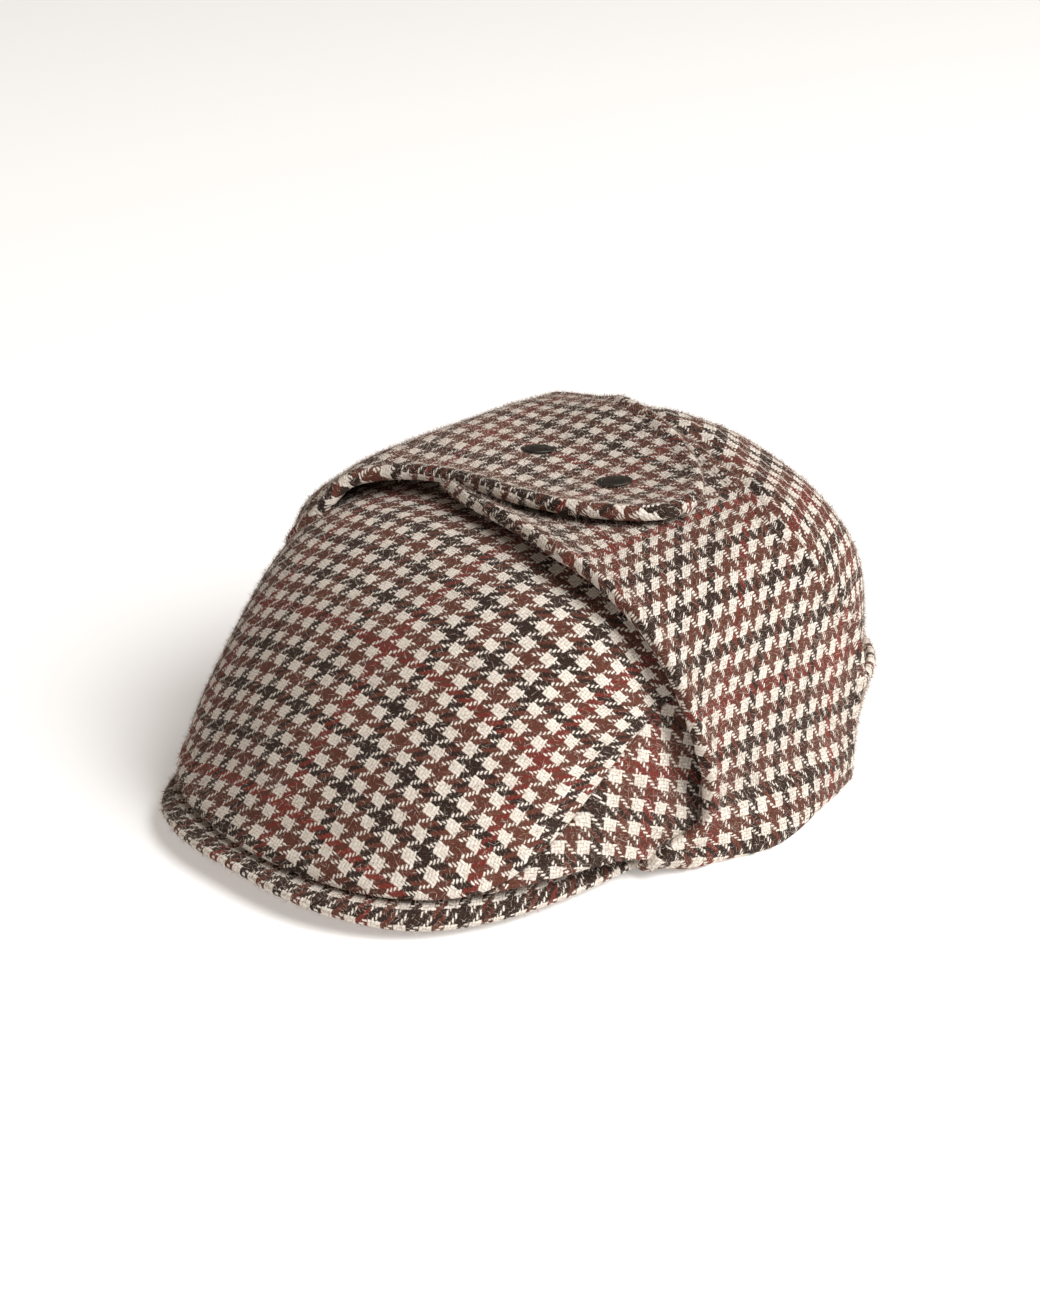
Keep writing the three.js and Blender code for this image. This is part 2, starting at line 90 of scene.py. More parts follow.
crownForm = {
    "middle": 26.0, "softness": 5.0,
    "flats": [  # way x, y, z and reach
        (1, 0, 0, 89.5), (-1, 0, 0, 89.5), (0, 0.999, 0.036, 99), (0, -0.056, 0.998, 76.5),
        (0, -0.887, 0.462, 120.5), (0.62, -0.62, 0.48, 141.5), (-0.62, -0.62, 0.48, 141.5),
        (0.8, -0.45, 0.4, 147), (-0.8, -0.45, 0.4, 147), (0.62, 0.62, 0.48, 133), (-0.62, 0.62, 0.48, 133),
        (0, 0, -1, 45.5)],
    "reliefs": [(3, 3, 44, 30, -6), (2, 66, 34, 30, 6.5)],  # x, y, half x, half y, rise
    "tuckHeight": 80.0, "flareHeight": 22.0,
    "angle": [0, 28, 50, 66, 78, 90, 100, 110, 117, 124, 130, 138, 150, 165, 180],
    "tuck": [0, 2.5, 2, 1.5, 0, 0, 0, 0.5, 3, 9, 16, 19, 16, 13, 12],
    "flare": [0, 0, 0, 0, 2.6, 9, 6.5, 1, 0, 0, 0, 0, 0, 0, 0],
}
flatRows = np.array(crownForm["flats"], float)
flatWays = flatRows[:, :3] / (np.linalg.norm(flatRows[:, :3], axis=1) * flatRows[:, 3])[:, None]

def turnOf(p):
    return np.degrees(np.abs(np.arctan2(p[..., 0], -p[..., 1])))

def roundWay(angle, tilt):  # round from the front, up from level
    a, t = np.radians(angle), np.radians(tilt)
    return np.stack([np.cos(t) * np.sin(a), -np.cos(t) * np.cos(a), np.sin(t)], -1)

def archWay(arch, latitude):  # over the top from side to side, and toward the back
    a, b = np.radians(arch), np.radians(latitude)
    return np.stack([np.cos(b) * np.sin(a), np.sin(b), np.cos(b) * np.cos(a)], -1)

def stripWay(along, aside):  # over the top from front to back, and out to the sides
    b, a = np.radians(along), np.radians(aside)
    return np.stack([np.sin(a), -np.cos(a) * np.cos(b), np.cos(a) * np.sin(b)], -1)

def archOf(way):  # arch and latitude of a way
    latitude = np.degrees(np.arcsin(np.clip(way[..., 1], -1, 1)))
    return np.degrees(np.arctan2(way[..., 0], way[..., 2])), latitude

def lowShare(kind, point, height):  # how far the low cloth is drawn in by the tuck, or stands out by the flare
    top = crownForm[kind + "Height"]
    return readTable(crownForm, "angle", kind, turnOf(point)) * np.maximum(0, (top - height) / top) ** 2

def crownPoint(way):
    q = crownForm["softness"]
    lean = np.maximum(way @ flatWays.T, 0)
    normal = unit((lean ** (q - 1)) @ flatWays)
    point = way * ((lean ** q).sum(-1) ** (-1 / q))[..., None]
    point[..., 2] += crownForm["middle"]
    over = (point[..., 2] > crownForm["middle"]).astype(float)
    rise = 0
    for x, y, halfX, halfY, height in crownForm["reliefs"]:
        offX, offY = (point[..., 0] - x) / halfX, (point[..., 1] - y) / halfY
        part = height * np.exp(-offX ** 2 - offY ** 2) * over
        rise = rise + part
        lift = normal[..., 2].copy()
        normal[..., 0] += 2 * part * offX * lift / halfX
        normal[..., 1] += 2 * part * offY * lift / halfY
    point[..., 2] += rise
    flat = np.maximum(np.hypot(point[..., 0], point[..., 1]), 1)
    draw = lowShare("tuck", point, point[..., 2]) / flat
    point[..., :2] *= (1 - draw)[..., None]
    return point, unit(normal)

def closeIn(low, high, below, rounds):  # the low end and the last guess, where below stops being true
    for _ in range(rounds):
        half = (low + high) / 2
        under = below(half)
        low, high = np.where(under, half, low), np.where(under, high, half)
    return low, half

def tiltAtHeight(angle, height):
    low, high = np.full(np.shape(angle), -35.0), np.full(np.shape(angle), 75.0)
    return closeIn(low, high, lambda tilt: crownPoint(roundWay(angle, tilt))[0][..., 2] < height, 28)[0]

seamLine = {  # height of the seam between crown and side panel, and of the hem, round from the front
    "angle": [0, 20, 33, 36, 40, 46.5, 52.5, 58.5, 65, 80, 95, 110, 125, 138, 146, 150, 180],
    "seam": [12.6, 12.6, 13.2, 14.4, 18.2, 28.7, 40, 50, 57, 65, 67, 60, 42, 20, 8, 4.2, 4.2],
    "hem": [12.6, 12.6, 13, 13.2, 13.4, 13.2, 12.6, 10.5, 7] + [4.2] * 8,
}

# sewing: grids of points become closed padded sheets with a weave map in threads

def fineSteps(length, step, nearEnds=(True, True)):
    close = [0, 0.14, 0.45, 0.95, 1.6, 2.4, 3.3, 4.3, 5.4, 6.8, 8.6]
    scale = min(1.0, length / (30 if all(nearEnds) else 16))
    start = [d * scale for d in close] if nearEnds[0] else [0]
    stop = [length - d * scale for d in close[::-1]] if nearEnds[1] else [length]
    count = max(2, int(round((stop[0] - start[-1]) / step)))
    middle = list(np.linspace(start[-1], stop[0], count + 1)[1:-1])
    return np.array(start + middle + stop) / length

def nearestOn(points, edge):  # which edge point is nearest, and how far it is
    flat = points.reshape(-1, 3)
    place, away, batch = np.zeros(len(flat), int), np.empty(len(flat)), 2000
    for k in range(0, len(flat), batch):
        gap = ((flat[k:k + batch, None, :] - edge[None, :, :]) ** 2).sum(-1)
        place[k:k + batch], away[k:k + batch] = gap.argmin(1), np.sqrt(gap.min(1))
    return place, away

def edgeDistance(points, edge):
    return nearestOn(points, edge)[1].reshape(points.shape[:-1])

def rimOf(points):
    return np.concatenate([points[0], points[-1], points[:, 0], points[:, -1]])

def runLength(points, axis=0):  # distance run along a grid, from nought
    run = np.cumsum(np.linalg.norm(np.diff(points, axis=axis), axis=-1), axis)
    return np.concatenate([np.zeros_like(run.take([0], axis)), run], axis)

def gridNormal(points):
    return unit(np.cross(np.gradient(points, axis=1), np.gradient(points, axis=0)))

def layFlat(grid, row, column, rounds=1500):
    # a sheet laid flat with every length kept as nearly as it can be
    n, m = grid.shape[:2]
    place = np.arange(n * m).reshape(n, m)
    ends = [(place[:-1], place[1:]), (place[:, :-1], place[:, 1:]),
            (place[:-1, :-1], place[1:, 1:]), (place[1:, :-1], place[:-1, 1:])]
    a = np.concatenate([e[0].ravel() for e in ends])
    b = np.concatenate([e[1].ravel() for e in ends])
    points, flat = grid.reshape(-1, 3), arcStart(grid, row, column).reshape(-1, 2)
    want = np.linalg.norm(points[a] - points[b], axis=1)
    a, b, want = a[want > 1e-6], b[want > 1e-6], want[want > 1e-6]
    count = np.maximum(np.bincount(a, minlength=n * m) + np.bincount(b, minlength=n * m), 1)[:, None]
    for _ in range(rounds):
        gap = flat[b] - flat[a]
        size = np.maximum(np.linalg.norm(gap, axis=1), 1e-9)
        pull = gap * ((size - want) / size / 2)[:, None]
        move = [np.bincount(a, pull[:, k], n * m) - np.bincount(b, pull[:, k], n * m) for k in (0, 1)]
        flat += np.stack(move, 1) / count * 1.6
    return flat.reshape(n, m, 2)

def arcStart(grid, row, column):
    along, aside = runLength(grid[:, column]), runLength(grid, 1)
    along = np.repeat((along - along[row])[:, None], grid.shape[1], 1)
    return np.stack([aside - aside[:, column:column + 1], along], -1)

def fromTable(table, row, column):  # a value between the entries of a table
    n, m = table.shape[:2]
    i, j = np.clip(np.floor(row).astype(int), 0, n - 2), np.clip(np.floor(column).astype(int), 0, m - 2)
    s, t = (row - i)[..., None], (column - j)[..., None]
    first, second = table[i, j] * (1 - s) + table[i + 1, j] * s, table[i, j + 1] * (1 - s) + table[i + 1, j + 1] * s
    return first * (1 - t) + second * t

def layWeave(flat, rule):
    # flat mm to thread counts: eight threads to a check, straight or bent a little as the real cloth was
    run = np.array(rule["run"]).T
    if "start" in rule:
        checks = np.array(rule["start"]) + flat @ run
    else:
        half = np.array(rule["half"])
        x = (flat - np.array(rule["middle"])) / half
        held = np.clip(x, -0.9, 0.9)
        top = {6: 2, 10: 3}[len(rule["i"])]
        powers = [(a, b) for a in range(top + 1) for b in range(top + 1 - a)]
        terms = np.stack([held[..., 0] ** a * held[..., 1] ** b for a, b in powers], -1)
        checks = np.stack([terms @ np.array(rule["i"]), terms @ np.array(rule["j"])], -1) + ((x - held) * half) @ run
    threads = (checks - np.array(rule["rust"])) * 8 + 6
    if rule.get("crossCut"):  # warp lies across the piece
        threads = np.stack([threads[..., 1], 4 - threads[..., 0]], -1)
    return threads

def toFrame(points):
    placed = (np.asarray(points, float).reshape(-1, 3) + (0, shiftY, 0)) * 0.001
    placed[:, 2] = np.maximum(placed[:, 2], 0.0)  # cloth lies flat where it rests
    return placed

def meshPiece(name, points, faces, weave, material):
    mesh = bpy.data.meshes.new(name)
    mesh.from_pydata(toFrame(points).tolist(), [], faces)
    if weave is not None:
        layer = mesh.uv_layers.new(name="weave")
        loops = np.empty(len(mesh.loops), np.int32)
        mesh.loops.foreach_get("vertex_index", loops)
        layer.data.foreach_set("uv", np.asarray(weave, float).reshape(-1, 2)[loops].ravel())
    mesh.polygons.foreach_set("use_smooth", [True] * len(mesh.polygons))
    mesh.materials.append(material)
    mesh.update()
    return addObject(name, mesh)

def sewSheet(name, outer, inner, weave, wrap=False, pole=False, under=None):
    n, m = outer.shape[:2]
    front = np.arange(n * m).reshape(n, m)
    back = front + n * m
    back[0] = front[0]
    if pole:
        front[-1], back[-1] = front[-1, 0], back[-1, 0]
    else:
        back[-1] = front[-1]
    if not wrap:
        back[:, 0], back[:, -1] = front[:, 0], front[:, -1]
    faces = []
    for i in range(n - 1):
        for j in range(m if wrap else m - 1):
            k = (j + 1) % m
            for net, order in ((front, 1), (back, -1)):
                ring = list(dict.fromkeys((net[i, j], net[i, k], net[i + 1, k], net[i + 1, j])))
                if len(ring) > 2:
                    faces.append(ring[::order])
    points = np.concatenate([outer.reshape(-1, 3), inner.reshape(-1, 3)])
    maps = np.concatenate([weave.reshape(-1, 2), (weave if under is None else under).reshape(-1, 2)])
    used = np.unique(np.concatenate(faces))
    fresh = np.full(len(points), -1)
    fresh[used] = np.arange(len(used))
    faces = [[int(fresh[c]) for c in f] for f in faces]
    return meshPiece(name, points[used], faces, maps[used], tweedMaterial)

def padHalf(away, half, edge):  # half the thickness, rounded off to nothing at the edge
    return half * np.sqrt(np.maximum(0, 1 - (1 - np.minimum(away / edge, 1)) ** 2))

def twoFaces(point, normal, lift, half, pad):  # of a cloth whose outside lies on the form
    outer = point + normal * (lift - half + pad)[..., None]
    return outer, point + normal * (np.minimum(lift, 0) - half - pad)[..., None]

def roundTheEdge(flat, points, away, edge, half):
    # how far the weave runs on over a rounded edge, for the outer and the under face
    n, m = away.shape
    rim = np.concatenate([np.arange(n) * m, np.arange(n) * m + m - 1, (n - 1) * m + np.arange(m)])
    flats = flat.reshape(-1, 2)
    near = rim[nearestOn(points, points.reshape(-1, 3)[rim])[0]]
    out = (flats[near] - flats).reshape(n, m, 2)
    out[:, 0], out[:, -1] = flat[:, 0] - flat[:, 5], flat[:, -1] - flat[:, -6]
    out[-1] = flat[-1] - flat[-6]
    out = unit(out)
    share = np.clip((edge - away) / edge, 0, 1)
    radius = (edge + half) / 2
    bend, over = radius * np.arcsin(share), radius * math.pi
    return flat + out * (bend - edge * share)[..., None], flat + out * (over - bend - edge * share)[..., None]

waves = {"count": 7, "shortest": 26, "longest": 60, "usual": 45, "calm": 2.6}

def softWaves(points, size, seed):  # slow swells in a hand-worn cloth
    rng = np.random.default_rng(seed)
    total = np.zeros(points.shape[:-1])
    for _ in range(waves["count"]):
        way = unit(rng.normal(size=3))
        wave = rng.uniform(waves["shortest"], waves["longest"])
        swing = np.sin(points @ way * 2 * math.pi / wave + rng.uniform(0, 6.3))
        total += swing * size / waves["calm"] * wave / waves["usual"]
    return total

# shader wires: a socket that can be added, multiplied and so on

class Wire:
    def __init__(self, pad, socket):
        self.pad, self.socket = pad, socket

    def math(self, kind, *others):
        return self.pad.node("ShaderNodeMath", dict(enumerate((self,) + others)), operation=kind)

    def __rsub__(self, other):
        return self.pad.node("ShaderNodeMath", {0: other, 1: self}, operation="SUBTRACT")

    def floor(self):
        return self.math("FLOOR")

    def part(self, name):  # another output of the same node
        return Wire(self.pad, self.socket.node.outputs[name])

signs = {"add": "ADD", "sub": "SUBTRACT", "mul": "MULTIPLY", "truediv": "DIVIDE", "pow": "POWER",
         "mod": "FLOORED_MODULO", "lt": "LESS_THAN", "gt": "GREATER_THAN"}
for sign, kind in signs.items():
    setattr(Wire, "__" + sign + "__", lambda self, other, kind=kind: self.math(kind, other))

class Board:  # a node tree whose nodes give wires
    def node(self, kind, values=None, out=0, **settings):
        made = self.tree.nodes.new(kind)
        for key, value in settings.items():
            setattr(made, key, value)
        for key, value in (values or {}).items():
            self.feed(made.inputs[key], value)
        return Wire(self, made.outputs[out])

    def feed(self, socket, value):
        if isinstance(value, Wire):
            self.tree.links.new(value.socket, socket)
        elif isinstance(value, tuple) and len(value) == 3 and socket.type == "RGBA":
            socket.default_value = (*value, 1)
        else:
            socket.default_value = value

    def vector(self, kind, *parts):
        return self.node("ShaderNodeVectorMath", dict(enumerate(parts)), operation=kind)

class Pad(Board):  # a material
    def __init__(self, name):
        self.material = bpy.data.materials.new(name)
        self.material.use_nodes = True
        self.tree = self.material.node_tree
        self.shader = self.tree.nodes["Principled BSDF"]

    def blend(self, factor, first, second):
        return self.node("ShaderNodeMix", {0: factor, 6: first, 7: second}, 2, data_type="RGBA")

    def scaled(self, vector, amount):
        made = self.vector("SCALE", vector)
        self.feed(made.socket.node.inputs["Scale"], amount)
        return made

    def noise(self, place, scale, detail=2.0, out=0, **more):
        return self.node("ShaderNodeTexNoise", {"Vector": place, "Scale": scale, "Detail": detail, **more}, out)

    def ramp(self, value, low, high):  # nought at low, one at high
        return self.node("ShaderNodeMapRange", {"Value": value, "From Min": low, "From Max": high}, clamp=True)

    def put(self, **values):  # straight on the shader's own sockets
        for key, value in values.items():
            self.feed(self.shader.inputs[key.replace("_", " ")], value)

# houndstooth tweed, thread by thread: four dark and four light threads, two up and two down

tweed = {
    "cream": (0.83, 0.76, 0.675), "creamDeep": (0.72, 0.635, 0.54),
    "black": (0.026, 0.0148, 0.011), "brown": (0.116, 0.037, 0.0235), "rust": (0.185, 0.030, 0.021),
    "creamBulk": 0.27, "darkBulk": 0.95,  # how much of its place the upper thread fills
    "heather": (0.37, 0.22, 0.16), "heatherShare": 0.27,
    "wobble": 1.24, "wobbleScale": 0.16, "ruffle": 0.8, "ruffleScale": 1.7, "fray": 0.95, "frayEdge": 0.2,
    "relief": 0.00035, "fibre": 0.46, "gapShadeLevel": 0.56, "mottle": 0.24,
    "check": 8, "dark": 3.5,  # threads to a check, and where its dark half ends
}

def tweedCloth(name):
    pad = Pad(name)
    weave = pad.node("ShaderNodeUVMap", uv_map="weave")
    def strayBy(scale, amount):  # threads pushed aside
        way = pad.vector("SUBTRACT", pad.noise(weave, scale, out="Color"), (0.5, 0.5, 0.5))
        return pad.scaled(way, amount)
    lie = pad.vector("ADD", weave, strayBy(tweed["wobbleScale"], tweed["wobble"]))
    lie = pad.vector("ADD", lie, strayBy(tweed["ruffleScale"], tweed["ruffle"]))
    split = pad.node("ShaderNodeSeparateXYZ", {0: lie})
    x, y = split, split.part("Y")
    i, j = x.floor(), y.floor()
    s, t = x - i, y - j
    step = (i - j - 1) % 4
    warpUp = step < 1.5
    warpDark, weftDark = ((n % tweed["check"]) < tweed["dark"] for n in (i, j))
    def darkOf(place, seed):  # every eighth stripe rust, the others black and brown in turn
        group = (place / tweed["check"]).floor()
        plain = pad.blend((group % 2) > 0.5, tweed["black"], tweed["brown"])
        chance = pad.node("ShaderNodeTexWhiteNoise", {"W": group * 1.37 + seed}, noise_dimensions="1D")
        return pad.scaled(pad.blend((group % 8) < 0.5, plain, tweed["rust"]), chance * 0.3 + 0.85)
    thread = pad.node("ShaderNodeCombineXYZ", {0: i * warpUp, 1: j * (1 - warpUp)})
    single = pad.node("ShaderNodeTexWhiteNoise", {"Vector": thread}, noise_dimensions="2D")
    cream = pad.blend(single * 0.6, tweed["cream"], tweed["creamDeep"])
    warp, weft = pad.blend(warpDark, cream, darkOf(x, 11.3)), pad.blend(weftDark, cream, darkOf(y, 47.9))
    # place on a thread that floats over two others
    alongWarp, alongWeft = (1 - step + t) / 2, (step - 2 + s) / 2
    along = alongWeft + (alongWarp - alongWeft) * warpUp
    across = t + (s - t) * warpUp
    topDark = weftDark + (warpDark - weftDark) * warpUp
    off, end = ((place - 0.5).math("ABSOLUTE") * 2 for place in (across, along))
    body = off ** 2.4 + end ** 5
    fibre = pad.noise(weave, 2.3, 3.0, Roughness=0.65)
    reach = topDark * tweed["darkBulk"] + tweed["creamBulk"] + (fibre - 0.5) * tweed["fray"]
    cover = pad.ramp(reach - body, -tweed["frayEdge"], tweed["frayEdge"])
    yarn = pad.blend(cover, pad.blend(warpUp, warp, weft), pad.blend(warpUp, weft, warp))
    strayHair = pad.ramp(pad.noise(weave, 1.9, 4.0, Roughness=0.75), 0.53, 0.74)
    yarn = pad.blend(strayHair * tweed["heatherShare"], yarn, tweed["heather"])
    height = (1 - body * 0.8).math("MAXIMUM", 0.0) ** 0.5
    speck, cloud = pad.noise(weave, 4.2), pad.noise(weave, 0.06)
    # painted shade: the yarn colour is darkened where thread height falls, in the gaps between threads and at float
    # ends; speck and mottle add random fibre tone
    shade = (height * 0.52 + tweed["gapShadeLevel"]) * (speck * tweed["fibre"] * 2 + 1 - tweed["fibre"])
    shade = shade * (cloud * tweed["mottle"] + 1 - tweed["mottle"] / 2)
    relief = {"Strength": 0.8, "Distance": tweed["relief"], "Height": height + speck * 0.5}
    pad.put(Base_Color=pad.scaled(yarn, shade), Normal=pad.node("ShaderNodeBump", relief), Roughness=0.95,
            Sheen_Weight=0.08, Sheen_Roughness=0.55, Sheen_Tint=(0.9, 0.8, 0.7), Specular_IOR_Level=0.15)
    return pad.material

tweedMaterial = tweedCloth("tweed")

snapFinish = {"metal": (0.045, 0.040, 0.034), "worn": (0.16, 0.13, 0.095), "roughness": 0.5}

def snapMetal():
    pad = Pad("snap_metal")
    place = pad.node("ShaderNodeTexCoord", None, "Object")
    grit = pad.noise(place, 2600.0)
    worn = pad.ramp(pad.noise(place, 420.0, 3.0), 0.45, 0.75)
    colour = pad.blend(worn * 0.5, snapFinish["metal"], snapFinish["worn"])
    bump = pad.node("ShaderNodeBump", {"Strength": 0.25, "Distance": 0.0001, "Height": grit})
    pad.put(Base_Color=colour, Metallic=0.75, Roughness=grit * 0.25 + snapFinish["roughness"] - 0.1, Normal=bump)
    return pad.material

snapMaterial = snapMetal()
print("stage 2: finishes made")

def keep(piece, node):
    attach(piece, "root")
    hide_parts(node)
    return piece

# the ear flaps' own measures: a turned foot, up the side and over the top

flap = {
    "gap": 0.8, "cloth": 3.0, "lapGap": 1.0, "foot": 100.0, "roundFrom": -2.0, "tip": -35.8,
    "lapFrom": 46.0, "lapTo": 36.0, "dropFrom": 28.0, "lapTilt": 2.0,
    "puff": (48, -27, 15, 10, 3.2),  # arch, latitude, half arch, half latitude, rise
    "footRadius": 4.5, "footInner": -8.0, "footFront": -27.5, "footRise": 3.5, "hook": 9.0, "tuckEnd": 3.6,
    "height": [0, 9, 22, 42, 70, 130], "swell": [1.6, 1.8, 0, 1.2, 0.8, 0.8], "waves": 0.5, "step": 2.4,
    "hemRoll": 0.7, "hemWide": 5.6, "hemGroove": 0.55, "hemEdge": 2.4, "hemBulge": 5, "liftWide": 9.0, "valley": 2.6,
    "farDip": (6.2, 12, 60, 29),  # drop, width, arch, half arch
    "tableStep": 3.0, "tableRows": 45, "tableColumns": 26,
    "left": {"lift": 3.2, "thickHem": 1.1,
        "arch": [103, 97, 88, 77, 66, 57, 49, 41, 29, 12, -5, -35],
        "front": [-18.5, -15.6, -16.6, -19.2, -21.4, -23.2, -25.2, -26.9, -29.2, -29.6, -28.4, -24],
        "rear": [33, 33.4, 33.4, 33, 28.5, 21, 18.6, 18.6, 24, 30, 30, 24],
        "weave": {"middle": (-4.7, 65.3), "half": (37.9, 62.4), "rust": (0, 4),
            "run": ((0.1412, -0.04), (-0.016, -0.116)),
            "i": (0.801, -5.281, -3.095, 0.652, 5.2, -0.17, -0.379, -0.088, -0.992, -0.1),
            "j": (2.086, -7.361, -0.49, 0.337, -0.535, 0.376, -0.111, 0.025, -0.228, -0.171)}},
    "right": {"lift": 0.4, "thickHem": 0.9,
        "arch": [103, 97, 88, 77, 68, 60, 53, 47, 42, 36, 29, 19, 7, -5, -35],
        "front": [-18.5, -15.6, -16.6, -20.5, -27, -33.5, -37, -36.5, -34, -30, -27, -25, -24.2, -23.8, -22],
        "rear": [33, 33.4, 33.4, 33, 30, 26, 24, 25, 27.5, 31, 33.5, 34, 32.5, 30, 24],
        "weave": {"middle": (8.6, 178.2), "half": (34.5, 41.0), "rust": (6, 2), "crossCut": True,
            "run": ((0.026, 0.1295), (-0.1154, -0.0004)),
            "i": (2.992, 5.306, -0.374, 0.692, -0.697, -0.618),
            "j": (1.347, -0.018, -0.439, -4.236, -0.502, -0.829)}},
}

# the crown strip from the front hem over the top to the back

crown = {
    "cloth": 2.2, "columns": 240, "step": 2.6, "hemRoll": 1.0, "crease": 0.3, "creaseWide": 2.2, "swell": 0.5,
    "backArch": [0, 20, 45, 60, 75, 88, 100], "backRise": [3.2, 3.2, 2.8, 2.4, 1.6, 0.0, 0.0],
    "degree": 1.65,  # mm to a degree over the top
    "firstAlong": -24, "firstAside": -72, "tableStep": 4.0, "backFrom": 92,
    "front": {"middle": (21.6, 56.4), "half": (71.5, 60.6), "rust": (5, 0), "crossCut": True,
        "run": ((0.1268, -0.0186), (-0.0126, -0.1327)),
        "i": (-3.014, -1.327, 0.569, 0.468, 9.25, -0.114, -1.083, -0.038, -0.098, 0.178),
        "j": (0.423, -8.293, -0.002, 0.34, -1.014, 0.599, -0.121, -1.363, 0.713, 0.295)},
    "back": {"start": (0, 0), "run": ((0.092, 0.083), (0.083, -0.092)), "rust": (0, 0)},
}

def stripTable():
    along = np.arange(crown["firstAlong"], 205, crown["tableStep"])
    aside = np.arange(crown["firstAside"], 73, crown["tableStep"])
    grid, _ = crownPoint(stripWay(*np.meshgrid(along, aside, indexing="ij")))
    return layFlat(grid, 6, len(aside) // 2)  # row 6 is level

crownFlat = stripTable()

def crownWeave(way):
    along = np.degrees(np.arctan2(way[..., 2], -way[..., 1]))
    along = np.where(along < -90, along + 360, along)
    aside = np.degrees(np.arcsin(np.clip(way[..., 0], -1, 1)))
    row, column = along - crown["firstAlong"], aside - crown["firstAside"]
    flat = fromTable(crownFlat, row / crown["tableStep"], column / crown["tableStep"])
    ahead = (along < crown["backFrom"])[..., None]
    return np.where(ahead, layWeave(flat, crown["front"]), layWeave(flat, crown["back"]))

def backStand(way):  # behind the flaps the crown rises to their height
    arch, latitude = archOf(way)
    near, far = (readTable(flap[key], "arch", "rear", np.abs(arch)) for key in ("left", "right"))
    behind = (latitude - np.where(arch > 0, near, far)) * crown["degree"]
    rise = readTable(crown, "backArch", "backRise", np.abs(arch))
    return rise * smooth(0.5, 5.5, behind) * (1 - smooth(5, 22, behind))

def hemValley(way):  # the cloth sinks a little beside the near flap's standing hem
    arch, latitude = archOf(way)
    ahead = (readTable(flap["left"], "arch", "front", arch) - latitude) * crown["degree"]
    return -flap["valley"] * lump(ahead, 1.5, 6.5) * smooth(18, 34, arch) * (1 - smooth(88, 98, arch))

def makeCrown():
    angle = np.linspace(0, 360, crown["columns"], endpoint=False)
    fromFront = np.minimum(angle, 360 - angle)
    low = tiltAtHeight(angle, readTable(seamLine, "angle", "seam", fromFront))
    tilts = low + (90 - low) * np.linspace(0, 1, 80)[:, None]
    lengths = runLength(crownPoint(roundWay(angle[None, :], tilts))[0])
    full, mean = lengths[-1], lengths[-1].mean()
    steps = fineSteps(float(mean), crown["step"], (True, False))[:, None]
    blend = smooth(0, 1, steps)
    away = steps * mean * (1 - blend) + steps * full * blend
    away[-1] = full
    tilt = np.stack([np.interp(away[:, j], lengths[:, j], tilts[:, j]) for j in range(len(angle))], 1)
    way = roundWay(np.broadcast_to(angle, tilt.shape), tilt)
    point, normal = crownPoint(way)
    front = 1 - smooth(30, 40, fromFront)[None, :]
    half = crown["cloth"] / 2
    pad = padHalf(away, half, 0.6 + 0.7 * front)
    lift = softWaves(point, crown["swell"], 3) * smooth(2, 16, away)
    lift = lift + front * crown["hemRoll"] * lump(away, 4.5, 3.2)
    lift = lift - (1 - front) * crown["crease"] * lump(away, 0, crown["creaseWide"])
    lift = lift + backStand(way) + hemValley(way)
    outer, inner = twoFaces(point, normal, lift, half, pad)
    return keep(sewSheet("crown_strip", outer, inner, crownWeave(way), wrap=True, pole=True), "crown_top")

crownPiece = makeCrown()

# side panels let in under the crown strip

sidePanel = {"first": 35.0, "last": 145.0, "columns": 96, "seamGap": 0.35, "cloth": 2.2, "crease": 0.3, "step": 2.6,
             "swell": 0.4, "tableStep": 5.0, "tableRows": 14,
             "weave": {"start": (4.11, 2.92), "run": ((0.0987, -0.0192), (-0.0542, -0.1155)), "rust": (2, 0)}}

def sideHeights(angle, share):  # part of the way from the hem up to the seam
    seam = readTable(seamLine, "angle", "seam", angle) - sidePanel["seamGap"]
    hem = readTable(seamLine, "angle", "hem", angle)
    return hem + (seam - hem) * share

def sideTable():
    turns = np.arange(sidePanel["first"], sidePanel["last"] + 1, sidePanel["tableStep"])
    share, angle = np.meshgrid(np.linspace(0, 1, sidePanel["tableRows"]), turns, indexing="ij")
    grid, _ = crownPoint(roundWay(angle, tiltAtHeight(angle, sideHeights(angle, share))))
    return layFlat(grid, 0, 8)

sideFlat = sideTable()

def makeSidePanel(side, name, node):
    angle = np.linspace(sidePanel["first"], sidePanel["last"], sidePanel["columns"])
    steps = fineSteps(60, sidePanel["step"])[:, None]
    height = sideHeights(angle, steps)
    spread = np.broadcast_to(angle, height.shape)
    way = roundWay(side * spread, tiltAtHeight(spread, height))
    point, normal = crownPoint(way)
    away, toSeam = edgeDistance(point, rimOf(point)), edgeDistance(point, point[-1])
    half = sidePanel["cloth"] / 2
    pad = padHalf(away, half, 0.6 + 0.7 * smooth(2, 5, toSeam))
    crease = sidePanel["crease"] * lump(toSeam, 0, crown["creaseWide"])
    lift = softWaves(point, sidePanel["swell"], 5) * smooth(2, 14, away) - crease
    if side > 0:
        lift = lift + hemValley(way)
    row, column = steps * (sidePanel["tableRows"] - 1), (spread - sidePanel["first"]) / sidePanel["tableStep"]
    weave = layWeave(fromTable(sideFlat, row, column), sidePanel["weave"])
    parts = [*twoFaces(point, normal, lift, half, pad), weave]
    return keep(sewSheet(name, *(part[:, ::side] for part in parts)), node)

sideLeft = makeSidePanel(1, "side_panel_near", "side_panel_left")
sideRight = makeSidePanel(-1, "side_panel_far", "side_panel_right")
print("stage 3: crown strip and side panels sewn")

# ear flaps, made from the foot up the side and over the top

footTurns = [None] + list(np.linspace(0, math.pi / 2, 9))  # None is the flat inner end
footRows = len(footTurns)
hemFirst = footRows + 2  # the row where the hem starts

